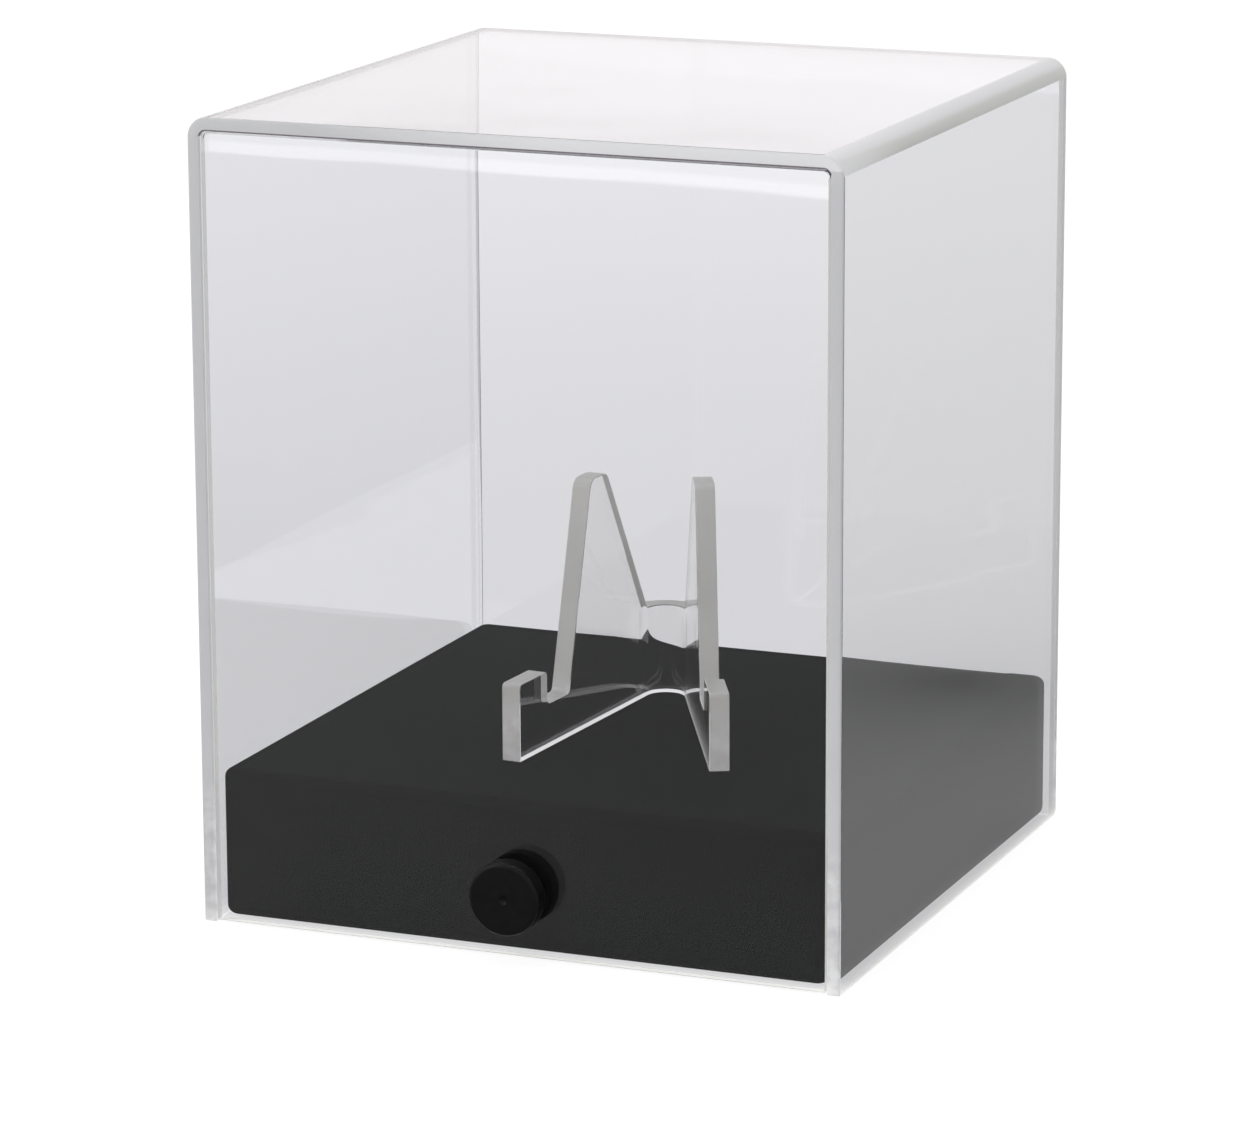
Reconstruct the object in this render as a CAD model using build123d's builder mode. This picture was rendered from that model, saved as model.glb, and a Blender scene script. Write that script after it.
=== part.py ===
from build123d import *
from math import cos, radians, sin, tan
import os

os.makedirs("parts", exist_ok=True)

# Outside size of the case
case_width = 100.0
case_depth = 100.0
case_height = 120.0

# Clear sheet: the cover is one strip bent twice, the back and front are flat panels
cover_thickness = 2.0
back_thickness = 2.0
front_thickness = 2.0
bend_inner_radius = 1.0
foot_corner_radius = 1.5

# Clearances that let the front panel and the base slide between the side walls
front_side_gap = 0.15
front_top_gap = 0.2
front_ground_gap = 0.3
base_side_gap = 0.5
base_rear_gap = 0.3

# Black base block on four thin glide pads
base_height = 22.4
base_corner_radius = 2.0
base_edge_radius = 1.4
pad_thickness = 0.7
pad_diameter = 10.0
pad_inset = 14.0

# Turned knob and the threaded stud that clamps the front panel to the base
knob_centre_height = 9.8
knob_diameter = 11.0
knob_head_thickness = 3.0
knob_front_radius = 0.7
knob_rear_radius = 0.4
knob_neck_diameter = 6.5
knob_neck_length = 1.2
dimple_diameter = 1.6
dimple_depth = 0.35
stud_diameter = 3.0
stud_length_in_knob = 2.2
stud_length_in_base = 14.0
stud_end_chamfer = 0.3
stud_panel_clearance = 0.25

# Easel: one strip bent at the back into a V, standing on the base, turned a little
easel_thickness = 3.0
easel_turn = 11.2
easel_offset_x = 6.0
easel_setback = 24.6
easel_spread = 31.2
easel_half_angle = 15.2
easel_bend_inner_radius = 3.0
lip_height = 11.8
lip_depth = 9.0
notch_floor_height = 6.8
notch_width = 7.0
rest_height = 38.0
rest_lean = 14.0
rest_top_width = 5.5
bridge_height = 14.0
lip_corner_radius = 0.8
notch_corner_radius = 0.8
rest_corner_radius = 2.0

# The origin is the middle of the underside of everything, the knob included
knob_reach = knob_neck_length + knob_head_thickness
case_front = (knob_reach - case_depth) / 2
case_back = case_front + case_depth
front_plane = Plane.XZ.offset(-case_front)
back_plane = Plane.XZ.offset(-case_back)

# Space inside the cover
inner_width = case_width - 2 * cover_thickness
inner_height = case_height - cover_thickness
bend_outer_radius = bend_inner_radius + cover_thickness


# Bent cover: left wall, top and right wall in one sheet, open at the front and below
with BuildPart() as bent_cover:
    with BuildSketch(back_plane) as cover_section:
        Rectangle(case_width, case_height, align=(Align.CENTER, Align.MIN))
        fillet(cover_section.vertices().group_by(Axis.Y)[-1], radius=bend_outer_radius)
        Rectangle(inner_width, inner_height, align=(Align.CENTER, Align.MIN), mode=Mode.SUBTRACT)
        fillet(cover_section.vertices().group_by(Axis.Y)[-2], radius=bend_inner_radius)
    extrude(amount=case_depth)
    rear_foot_edges = bent_cover.edges().filter_by(Axis.X).group_by(Axis.Z)[0].group_by(Axis.Y)[-1]
    fillet(rear_foot_edges, radius=foot_corner_radius)
bent_cover.part.label = "bent_cover"
export_step(bent_cover.part, "parts/bent_cover.step")

# Back panel: glued inside the rear edge of the cover
with BuildPart() as back_panel:
    with BuildSketch(back_plane) as back_outline:
        Rectangle(inner_width, inner_height, align=(Align.CENTER, Align.MIN))
        fillet(back_outline.vertices().group_by(Axis.Y)[-1], radius=bend_inner_radius)
    extrude(amount=back_thickness)
back_panel.part.label = "back_panel"
export_step(back_panel.part, "parts/back_panel.step")

# Front panel: flush with the cover's front edges, free of them all round
front_width = inner_width - 2 * front_side_gap
front_height = inner_height - front_top_gap - front_ground_gap
with BuildPart() as front_panel:
    with BuildSketch(front_plane) as front_outline:
        with Locations((0, front_ground_gap)):
            Rectangle(front_width, front_height, align=(Align.CENTER, Align.MIN))
        fillet(front_outline.vertices().group_by(Axis.Y)[-1], radius=bend_inner_radius)
        with Locations((0, knob_centre_height)):
            Circle(stud_diameter / 2 + stud_panel_clearance, mode=Mode.SUBTRACT)
    extrude(amount=-front_thickness)
front_panel.part.label = "front_panel"
export_step(front_panel.part, "parts/front_panel.step")

# Base block: a solid slab with softened edges, its front against the front panel
base_width = inner_width - 2 * base_side_gap
base_front = case_front + front_thickness
base_back = case_back - back_thickness - base_rear_gap
base_depth = base_back - base_front
base_middle = (base_front + base_back) / 2
base_top = pad_thickness + base_height
knob_plane = Plane(origin=(0, case_front, knob_centre_height), x_dir=(1, 0, 0), z_dir=(0, -1, 0))
with BuildPart() as base_block:
    with BuildSketch(Plane.XY.offset(pad_thickness)):
        with Locations((0, base_middle)):
            Rectangle(base_width, base_depth)
    extrude(amount=base_height)
    fillet(base_block.edges().filter_by(Axis.Z), radius=base_corner_radius)
    level_edges = base_block.edges().group_by(Axis.Z)
    fillet(level_edges[0] + level_edges[-1], radius=base_edge_radius)
    with BuildSketch(knob_plane.offset(-front_thickness)):
        Circle(stud_diameter / 2)
    extrude(amount=-stud_length_in_base, mode=Mode.SUBTRACT)
base_block.part.label = "base_block"
export_step(base_block.part, "parts/base_block.step")

# Glide pads: four thin discs stuck under the corners of the base block
with BuildPart() as glide_pads:
    with BuildSketch(Plane.XY.offset(0)):
        with Locations((0, base_middle)):
            with GridLocations(base_width - 2 * pad_inset, base_depth - 2 * pad_inset, 2, 2):
                Circle(pad_diameter / 2)
    extrude(amount=pad_thickness)
glide_pads.part.label = "glide_pads"
export_step(glide_pads.part, "parts/glide_pads.step")

# Knob: a short neck against the panel and a wider disc with a dimple at its centre
dimple_sphere_radius = (dimple_depth**2 + (dimple_diameter / 2) ** 2) / (2 * dimple_depth)
with BuildPart() as knob:
    with BuildSketch(knob_plane):
        Circle(knob_neck_diameter / 2)
    extrude(amount=knob_neck_length)
    with BuildSketch(knob_plane.offset(knob_neck_length)):
        Circle(knob_diameter / 2)
    extrude(amount=knob_head_thickness)
    head_rims = knob.edges().filter_by(GeomType.CIRCLE).sort_by(SortBy.RADIUS)[-2:].sort_by(Axis.Y)
    fillet(head_rims[0], radius=knob_front_radius)
    fillet(knob.edges().filter_by(GeomType.CIRCLE).sort_by(SortBy.RADIUS)[-2:].sort_by(Axis.Y)[-1],
           radius=knob_rear_radius)
    with Locations(knob_plane.offset(knob_reach + dimple_sphere_radius - dimple_depth)):
        Sphere(dimple_sphere_radius, mode=Mode.SUBTRACT)
    with BuildSketch(knob_plane):
        Circle(stud_diameter / 2)
    extrude(amount=stud_length_in_knob, mode=Mode.SUBTRACT)
knob.part.label = "knob"
export_step(knob.part, "parts/knob.step")

# Knob stud: set in the knob, through the front panel, screwed into the base block
stud_length = stud_length_in_knob + front_thickness + stud_length_in_base
with BuildPart() as knob_stud:
    with BuildSketch(knob_plane.offset(stud_length_in_knob)):
        Circle(stud_diameter / 2)
    extrude(amount=-stud_length)
    chamfer(knob_stud.edges().sort_by(Axis.Y)[-1], length=stud_end_chamfer)
knob_stud.part.label = "knob_stud"
export_step(knob_stud.part, "parts/knob_stud.step")

# Easel: each leg is an upright plate with a front lip, a notch and a sloping rest
easel_plane = Plane(
    origin=(easel_offset_x, case_front + easel_setback, base_top),
    x_dir=(cos(radians(easel_turn)), sin(radians(easel_turn)), 0),
    z_dir=(0, 0, 1),
)
bend_middle_radius = easel_bend_inner_radius + easel_thickness / 2
half_angle = radians(easel_half_angle)
leg_length = easel_spread / 2 / sin(half_angle) - bend_middle_radius / tan(half_angle)
bend_setback = easel_spread / 2 / tan(half_angle) - bend_middle_radius / sin(half_angle)
rest_foot = lip_depth + notch_width
rest_top = rest_foot + (rest_height - notch_floor_height) * tan(radians(rest_lean))


def leg_frame(side):
    """Local frame at a leg's front foot: X across the plate, Y along the leg, Z up."""
    foot = Location((side * easel_spread / 2, 0, 0), (0, 0, side * easel_half_angle))
    return Plane(easel_plane.location * foot)


with BuildPart() as easel:
    for side in (-1, 1):
        frame = leg_frame(side)
        with BuildSketch(Plane(origin=frame.origin, x_dir=frame.y_dir, z_dir=frame.x_dir)) as leg:
            with BuildLine():
                Polyline(
                    (0, 0),
                    (0, lip_height),
                    (lip_depth, lip_height),
                    (lip_depth, notch_floor_height),
                    (rest_foot, notch_floor_height),
                    (rest_top, rest_height),
                    (rest_top + rest_top_width, rest_height),
                    (leg_length, bridge_height),
                    (leg_length, 0),
                    close=True,
                )
            make_face()
            top_corners = leg.vertices().group_by(Axis.Y)[-1]
            lip_corners = leg.vertices().sort_by(Axis.X)[:4].sort_by(Axis.Y)[-2:]
            notch_corners = leg.vertices().group_by(Axis.Y)[1]
            fillet(top_corners, radius=rest_corner_radius)
            fillet(lip_corners, radius=lip_corner_radius)
            fillet(notch_corners, radius=notch_corner_radius)
        extrude(amount=easel_thickness / 2, both=True)
    right = leg_frame(1)
    bend_centre = easel_plane.from_local_coords((0, bend_setback, 0))
    with BuildSketch(Plane(origin=bend_centre, x_dir=right.x_dir, z_dir=-right.y_dir)):
        with Locations((bend_middle_radius, 0)):
            Rectangle(easel_thickness, bridge_height, align=(Align.CENTER, Align.MIN))
    revolve(axis=Axis(bend_centre, (0, 0, 1)), revolution_arc=180 - 2 * easel_half_angle)
easel.part.label = "easel"
export_step(easel.part, "parts/easel.step")
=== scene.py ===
import math
import bmesh
import bpy
from mathutils import Matrix, Vector


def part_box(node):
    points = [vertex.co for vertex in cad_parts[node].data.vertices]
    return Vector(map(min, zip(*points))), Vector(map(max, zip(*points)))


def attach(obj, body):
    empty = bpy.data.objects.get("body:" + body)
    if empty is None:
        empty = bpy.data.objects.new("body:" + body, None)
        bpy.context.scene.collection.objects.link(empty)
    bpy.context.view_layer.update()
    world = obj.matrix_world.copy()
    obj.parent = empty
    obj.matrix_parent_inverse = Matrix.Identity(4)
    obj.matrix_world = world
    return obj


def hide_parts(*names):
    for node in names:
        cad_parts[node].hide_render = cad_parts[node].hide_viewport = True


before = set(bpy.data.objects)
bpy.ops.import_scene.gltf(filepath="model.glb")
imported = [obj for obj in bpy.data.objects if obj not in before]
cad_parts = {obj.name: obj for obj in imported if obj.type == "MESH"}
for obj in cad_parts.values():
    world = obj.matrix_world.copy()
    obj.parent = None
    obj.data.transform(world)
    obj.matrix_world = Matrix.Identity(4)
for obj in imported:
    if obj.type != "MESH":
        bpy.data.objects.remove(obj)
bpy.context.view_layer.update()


# Bent cover. One 2 mm sheet of clear cast acrylic, heated along two lines and folded into left wall, top and
# right wall. Its faces keep the gloss of the sheet, and the heat has left the skin of the folds cloudy. Their
# colour
# holds painted light: they are paler where they face up. Its cut edges are scraped silky and pale, and whiter
# towards the right of the top. Under the top, the inner edge along the front is painted dark as a painted
# shade of the narrow gap over the front panel.
cover_low, cover_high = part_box("bent_cover")
back_low, back_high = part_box("back_panel")
sheet_thickness = back_low.x - cover_low.x
bend_inner_radius = 0.001
bend_steps = 40
foot_corner_radius = 0.0015
foot_corner_steps = 8
rounded_arris = 0.0004
rounded_arris_steps = 4
square_arris = 0.0001
inner_bevel = 0.00025
acrylic_ior = 1.49
acrylic_tint = "F9F9FB"
acrylic_loss_colour = "CACCC9"
acrylic_loss_per_metre = 3.0
acrylic_swell_length = 0.03
acrylic_swell_height = 0.000015
scraped_colour = "E8E8EA"
scraped_scatter = 0.7
# A near-white: the worn blotches and the whiter right part of the cut edges, and the painted light on the
# upper side of the folds.
worn_and_lit_colour = "FCFCFD"
sanded_colour = "F9F9F5"
sanded_scatter = 0.9
rubbed_height = 0.020
rubbed_fade = 0.002
worn_scatter = 0.3
top_band_height = 0.0022
whiter_from_x = -0.030
whiter_to_x = 0.005
fold_colour = "EAECE7"
fold_scatter = 0.6
fold_pale_length = 0.025
fold_pale_front = 0.8
# The folds' skin is painted grey up to the first slope of its face and pale from the second: painted shade
# and painted light.
fold_painted_shade_slope = 0.45
fold_painted_light_slope = 0.80
# Painted shade: the inner edge under the front of the top is coloured dark to stand for the shade in the
# narrow gap over the front panel.
gap_shade_colour = "8E848B"
gap_shade_scatter = 0.8
milky_roughness = (0.2, 0.45)
forward_share = 0.55


def linear(colour):
    """An sRGB hex colour as the linear numbers that a shader takes."""
    parts = [int(colour[i:i + 2], 16) / 255 for i in (0, 2, 4)]
    return (*[c / 12.92 if c <= 0.04045 else ((c + 0.055) / 1.055) ** 2.4 for c in parts], 1.0)


def add_node(tree, kind, sockets=None, **settings):
    """Adds a node. sockets gives each named input a value, the output that feeds it, or a node whose first
    output feeds it."""
    made = tree.nodes.new(kind)
    for name, value in settings.items():
        setattr(made, name, value)
    for name, value in (sockets or {}).items():
        if isinstance(value, bpy.types.Node):
            value = value.outputs[0]
        if isinstance(value, bpy.types.NodeSocket):
            tree.links.new(value, made.inputs[name])
        else:
            made.inputs[name].default_value = value
    return made


def start_material(name):
    """A named material, its node tree, and the outputs that tell where a point of the piece is."""
    material = bpy.data.materials.new(name)
    material.use_nodes = True
    material.node_tree.nodes.clear()
    return material, material.node_tree, add_node(material.node_tree, "ShaderNodeTexCoord").outputs


def close_clear_material(tree, surface, tint):
    """Ends a clear material. Sight bends as in real acrylic; lamps and soft light go straight through. Light
    that is piped along the sheet turns a little grey on its long way."""
    ray = add_node(tree, "ShaderNodeLightPath").outputs
    lit = add_node(tree, "ShaderNodeMath", {0: ray["Is Shadow Ray"], 1: ray["Is Diffuse Ray"]},
                   operation="MAXIMUM")
    straight = add_node(tree, "ShaderNodeBsdfTransparent", {"Color": linear(tint)})
    both = add_node(tree, "ShaderNodeMixShader", {0: lit, 1: surface, 2: straight})
    loss = add_node(tree, "ShaderNodeVolumeAbsorption", {"Color": linear(acrylic_loss_colour),
                                                         "Density": acrylic_loss_per_metre})
    add_node(tree, "ShaderNodeOutputMaterial", {"Surface": both, "Volume": loss})


def make_polished_acrylic(name, tint, wave_height):
    """Cast acrylic with its factory gloss: flat to the eye, with a long faint swell in its mirror images."""
    material, tree, place = start_material(name)
    swell = add_node(tree, "ShaderNodeTexNoise", {"Vector": place["Object"], "Detail": 1.0,
                                                  "Scale": 1 / acrylic_swell_length})
    bump = add_node(tree, "ShaderNodeBump", {"Height": swell, "Distance": wave_height})
    sheet = add_node(tree, "ShaderNodeBsdfPrincipled", {
        "Base Color": linear(tint), "Roughness": 0.0, "IOR": acrylic_ior, "Transmission Weight": 1.0,
        "Normal": bump})
    close_clear_material(tree, sheet, tint)
    return material


def make_milky(tree, colour, share):
    """A skin that scatters a share of the light, part of it backwards and part of it forwards. The rest
    passes through and is piped along the sheet."""
    roughness = add_node(tree, "ShaderNodeMapRange", {"Value": share, "To Min": milky_roughness[0],
                                                      "To Max": milky_roughness[1]})
    clear = add_node(tree, "ShaderNodeMath", {0: 1.0, 1: share}, operation="SUBTRACT")
    edge = add_node(tree, "ShaderNodeBsdfPrincipled", {
        "Base Color": colour, "Roughness": roughness, "IOR": acrylic_ior, "Transmission Weight": clear})
    forwards = add_node(tree, "ShaderNodeMath", {0: share, 1: forward_share}, operation="MULTIPLY")
    glow = add_node(tree, "ShaderNodeBsdfTranslucent", {"Color": colour})
    return add_node(tree, "ShaderNodeMixShader", {0: forwards, 1: edge, 2: glow})


def make_cut_edge(name, dark, pale, scatter, rubbed_below=0.0, whiter_above=1.0):
    """A sawn edge made smooth. scatter is the least share of the light that scatters in its skin. Below
    rubbed_below the skin is worn into pale blotches. Above whiter_above it whitens to the right."""
    streak_length, streak_range, streak_scatter = 0.006, (0.3, 0.7), 0.1
    blotch_length, blotch_range = 0.002, (0.35, 0.65)
    material, tree, place = start_material(name)
    streaks = add_node(tree, "ShaderNodeTexNoise", {"Vector": place["Object"],
                                                    "Scale": 1 / streak_length, "Detail": 3.0})
    blotches = add_node(tree, "ShaderNodeTexNoise", {"Vector": place["Object"],
                                                     "Scale": 1 / blotch_length, "Detail": 2.0})
    spot = add_node(tree, "ShaderNodeSeparateXYZ", {0: place["Object"]}).outputs
    rubbed = add_node(tree, "ShaderNodeMapRange", {"Value": spot["Z"], "From Min": rubbed_below + rubbed_fade,
                                                   "From Max": rubbed_below - rubbed_fade})
    patch = add_node(tree, "ShaderNodeMapRange", {"Value": blotches, "From Min": blotch_range[0],
                                                  "From Max": blotch_range[1]})
    worn = add_node(tree, "ShaderNodeMath", {0: rubbed, 1: patch}, operation="MULTIPLY")
    even = add_node(tree, "ShaderNodeMapRange", {
        "Value": streaks, "From Min": streak_range[0], "From Max": streak_range[1],
        "To Min": scatter, "To Max": scatter + streak_scatter})
    high = add_node(tree, "ShaderNodeMath", {0: spot["Z"], 1: whiter_above}, operation="GREATER_THAN")
    whiter = add_node(tree, "ShaderNodeMapRange", {"Value": spot["X"], "From Min": whiter_from_x,
                                                   "From Max": whiter_to_x})
    worn = add_node(tree, "ShaderNodeMath", {0: high, 1: whiter, 2: worn},
                    operation="MULTIPLY_ADD", use_clamp=True)
    share = add_node(tree, "ShaderNodeMath", {0: worn, 1: worn_scatter, 2: even},
                     operation="MULTIPLY_ADD", use_clamp=True)
    colour = add_node(tree, "ShaderNodeMix", {0: worn, 6: linear(dark), 7: linear(pale)}, data_type="RGBA")
    edge = make_milky(tree, colour.outputs[2], share)
    close_clear_material(tree, edge, pale)
    return material


polished_acrylic = make_polished_acrylic("polished_cast_acrylic", acrylic_tint, acrylic_swell_height)
scraped_edge = make_cut_edge("scraped_acrylic_edge", scraped_colour, worn_and_lit_colour, scraped_scatter,
                             rubbed_height, cover_high.z - top_band_height)
sanded_foot = make_cut_edge("sanded_acrylic_foot", sanded_colour, sanded_colour, sanded_scatter)
# A dark edge skin that paints the shade of the narrow gap under the top.
gap_shade_edge = make_cut_edge("painted_gap_shade_acrylic_edge", gap_shade_colour, gap_shade_colour, gap_shade_scatter)

# The heated skin of the folds is cloudy. Its colour holds painted shade and painted light: grey on its slope
# and
# paler where it faces up. It is also paler near the front. cloudy_fold, tree, place =
# start_material("heat_bent_acrylic_skin")
cloudy_fold, tree, place = start_material("heat_bent_acrylic_skin")
depth = add_node(tree, "ShaderNodeSeparateXYZ", {0: place["Object"]}).outputs["Y"]
slope = add_node(tree, "ShaderNodeSeparateXYZ", {0: place["Normal"]}).outputs["Z"]
# Painted light: the fold is paler the more its face turns up.
painted_top_light = add_node(tree, "ShaderNodeMapRange", {"Value": slope, "From Min": fold_painted_shade_slope,
                                              "From Max": fold_painted_light_slope}, interpolation_type="SMOOTHSTEP")
near = add_node(tree, "ShaderNodeMapRange", {"Value": depth, "From Min": cover_low.y + fold_pale_length,
                                             "From Max": cover_low.y, "To Max": fold_pale_front})
painted_light_and_pale_front = add_node(tree, "ShaderNodeMath", {0: painted_top_light, 1: near}, operation="MAXIMUM")
colour = add_node(tree, "ShaderNodeMix", {0: painted_light_and_pale_front, 6: linear(fold_colour),
                                          7: linear(worn_and_lit_colour)}, data_type="RGBA")
share = add_node(tree, "ShaderNodeMapRange", {"Value": painted_light_and_pale_front, "To Min": fold_scatter})
milky = make_milky(tree, colour.outputs[2], share)
close_clear_material(tree, milky, acrylic_tint)


def new_object(name, data):
    """A new object in the scene."""
    made = bpy.data.objects.new(name, data)
    bpy.context.scene.collection.objects.link(made)
    return made


def baked(thing):
    """The object's evaluated mesh on a clean object of the same name, with its modifiers used up."""
    result = bpy.data.meshes.new_from_object(thing.evaluated_get(bpy.context.evaluated_depsgraph_get()))
    name = thing.name
    bpy.data.objects.remove(thing)
    result.name = name
    return new_object(name, result)


def softly_shaded(thing):
    """Shades a piece so that its flats stay flat and the light turns only in its bends and soft edges."""
    thing.data.shade_smooth()
    even = thing.modifiers.new("even_normals", "WEIGHTED_NORMAL")
    even.weight = 100
    return baked(thing)


def grown(name, tree, values):
    """A mesh grown by a geometry tree. values are given to the tree's named inputs."""
    thing = new_object(name, bpy.data.meshes.new(name))
    growth = thing.modifiers.new("growth", "NODES")
    growth.node_group = tree
    for item in tree.interface.items_tree:
        if item.item_type == "SOCKET" and item.in_out == "INPUT":
            growth[item.identifier] = values[item.name]
    bpy.context.view_layer.update()
    return baked(thing)


def start_tree(name, numbers, counts):
    """An empty geometry tree with named inputs for numbers and counts, and with a Middle and a Surface. It
    comes with the outputs of its Group Input node and with its Group Output node."""
    tree = bpy.data.node_groups.new(name, "GeometryNodeTree")
    kinds = {**dict.fromkeys(numbers, "Float"), **dict.fromkeys(counts, "Int")}
    for label, kind in {**kinds, "Middle": "Vector", "Surface": "Material"}.items():
        tree.interface.new_socket(label, in_out="INPUT", socket_type="NodeSocket" + kind)
    tree.interface.new_socket("Geometry", in_out="OUTPUT", socket_type="NodeSocketGeometry")
    return tree, add_node(tree, "NodeGroupInput").outputs, add_node(tree, "NodeGroupOutput")


def finish_tree(tree, geometry, surface, end):
    """Ends a geometry tree. What it has grown becomes real meshes with their material."""
    solid = add_node(tree, "GeometryNodeRealizeInstances", {"Geometry": geometry})
    solid = add_node(tree, "GeometryNodeSetMaterial", {"Geometry": solid, "Material": surface})
    tree.links.new(solid.outputs[0], end.inputs[0])
    return tree


def folded_sheet_tree():
    """A strip of sheet folded into a U: a path with two rounded corners, and the sheet's section along it."""
    tree, given, end = start_tree("folded_sheet", ["Width", "Height", "Depth", "Thickness", "Bend"],
                                  ["Steps"])
    half = add_node(tree, "ShaderNodeMath", {0: given["Thickness"], 1: 0.5}, operation="MULTIPLY")
    side = add_node(tree, "ShaderNodeMath", {0: given["Width"], 1: 0.5}, operation="MULTIPLY")
    reach = add_node(tree, "ShaderNodeMath", {0: side, 1: half}, operation="SUBTRACT")
    other = add_node(tree, "ShaderNodeMath", {0: reach, 1: -1.0}, operation="MULTIPLY")
    rise = add_node(tree, "ShaderNodeMath", {0: given["Height"], 1: half}, operation="SUBTRACT")
    corners = {}
    for i, (x, y) in enumerate(((other, 0.0), (other, rise), (reach, rise), (reach, 0.0))):
        corners[f"Point {i + 1}"] = add_node(tree, "ShaderNodeCombineXYZ", {"X": x, "Y": y})
    path = add_node(tree, "GeometryNodeCurvePrimitiveQuadrilateral", corners, mode="POINTS")
    path = add_node(tree, "GeometryNodeSetSplineCyclic", {"Geometry": path, "Cyclic": False})
    radius = add_node(tree, "ShaderNodeMath", {0: given["Bend"], 1: half}, operation="ADD")
    path = add_node(tree, "GeometryNodeFilletCurve", {"Curve": path, "Count": given["Steps"],
                                                      "Radius": radius}, mode="POLY")
    section = add_node(tree, "GeometryNodeCurvePrimitiveQuadrilateral", {"Width": given["Thickness"],
                                                                         "Height": given["Depth"]})
    sheet = add_node(tree, "GeometryNodeCurveToMesh", {"Curve": path, "Profile Curve": section,
                                                       "Fill Caps": True})
    sheet = add_node(tree, "GeometryNodeTransform", {"Geometry": sheet, "Rotation": (math.pi / 2, 0, 0),
                                                     "Translation": given["Middle"]})
    return finish_tree(tree, sheet, given["Surface"], end)


square_from = math.radians(60)


def break_arrises(mesh, size, steps, chosen=lambda point: True):
    """Takes the sharpness off the square edges of a solid that have a chosen end, as a scraper does."""
    mesh.normal_update()
    square = [e for e in mesh.edges if len(e.link_faces) == 2 and e.calc_face_angle(0) > square_from
              and any(chosen(v.co) for v in e.verts)]
    bmesh.ops.bevel(mesh, geom=square, offset=size, segments=steps, profile=0.5, affect="EDGES")
    bmesh.ops.recalc_face_normals(mesh, faces=mesh.faces)
    mesh.normal_update()


touching = 1e-6
hair = 1e-5
arris_clear_of_foot = 0.001
bevel_slack = 1.1
polished, scraped, sanded, cloudy, gap_shaded = range(5)
# A face is sorted by how much of its normal lies along an axis.
flat_share = 0.9
side_share = 0.3
bend_share = 0.05

cover = grown("clear_bent_cover", folded_sheet_tree(), {
    "Width": cover_high.x - cover_low.x, "Height": cover_high.z - cover_low.z,
    "Depth": cover_high.y - cover_low.y, "Thickness": sheet_thickness, "Bend": bend_inner_radius,
    "Steps": bend_steps, "Middle": (0.0, (cover_low.y + cover_high.y) / 2, cover_low.z),
    "Surface": polished_acrylic})
for surface in (scraped_edge, sanded_foot, cloudy_fold, gap_shade_edge):
    cover.data.materials.append(surface)
shaped = bmesh.new()
shaped.from_mesh(cover.data)
bmesh.ops.remove_doubles(shaped, verts=shaped.verts, dist=touching)
rear_foot = [e for e in shaped.edges
             if all(v.co.z < cover_low.z + hair and v.co.y > cover_high.y - hair for v in e.verts)]
bmesh.ops.bevel(shaped, geom=rear_foot, offset=foot_corner_radius, segments=foot_corner_steps, profile=0.5,
                affect="EDGES")
reach_in = sheet_thickness - inner_bevel * bevel_slack
inside = Vector((cover_high.x - reach_in, cover_low.y, cover_high.z - reach_in))
inner_edge = [e for e in shaped.edges
              if all(v.co.y < inside.y + hair and abs(v.co.x) < inside.x and v.co.z < inside.z
                     for v in e.verts)
              and any(v.co.z > cover_low.z + hair for v in e.verts)]
bmesh.ops.bevel(shaped, geom=inner_edge, offset=inner_bevel, segments=1, profile=0.5, affect="EDGES")
break_arrises(shaped, rounded_arris, rounded_arris_steps,
              lambda point: point.z > cover_low.z + arris_clear_of_foot)
break_arrises(shaped, square_arris, 1)
for vert in shaped.verts:
    vert.co.x = min(max(vert.co.x, cover_low.x), cover_high.x)
shaped.normal_update()
for face in shaped.faces:
    middle = face.calc_center_median()
    if middle.z < cover_low.z + foot_corner_radius and face.normal.z < -side_share:
        face.material_index = sanded
    elif abs(face.normal.y) < side_share:
        bent = face.normal.z > bend_share and abs(face.normal.x) > bend_share
        face.material_index = cloudy if bent else polished
    elif (-flat_share < face.normal.y < 0 and abs(middle.x) < inside.x
          and inside.z - bend_inner_radius < middle.z < inside.z):
        # Painted shade of the narrow gap over the front panel.
        face.material_index = gap_shaded
    else:
        face.material_index = scraped
shaped.to_mesh(cover.data)
shaped.free()
cover = softly_shaded(cover)
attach(cover, "case")
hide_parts("bent_cover")


# Back panel. A flat piece of the same sheet, cemented between the walls at the rear edge of the cover.
# Its upper corners are rounded to lie in the bends. The cement line is thinner than a hair, and has cleared
# the cut face on the left.
cement_line = 0.00004
cleared_share = 0.5
corner_step = math.radians(7.5)


def rounded(corners):
    """The points of an outline through corners (x, y, radius), in order, with an arc at each radius."""
    outline = []
    for i, (x, y, radius) in enumerate(corners):
        here = Vector((x, y))
        if not radius:
            outline.append(here)
            continue
        before = (Vector(corners[i - 1][:2]) - here).normalized()
        after = (Vector(corners[(i + 1) % len(corners)][:2]) - here).normalized()
        half = before.angle(after) / 2
        centre = here + (before + after).normalized() * radius / math.sin(half)
        first = here + before * radius / math.tan(half) - centre
        turn = math.copysign(math.pi - 2 * half, before.x * after.y - before.y * after.x) * -1
        steps = max(2, math.ceil(abs(turn) / corner_step))
        for k in range(steps + 1):
            outline.append(centre + Matrix.Rotation(turn * k / steps, 2) @ first)
    return outline


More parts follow.
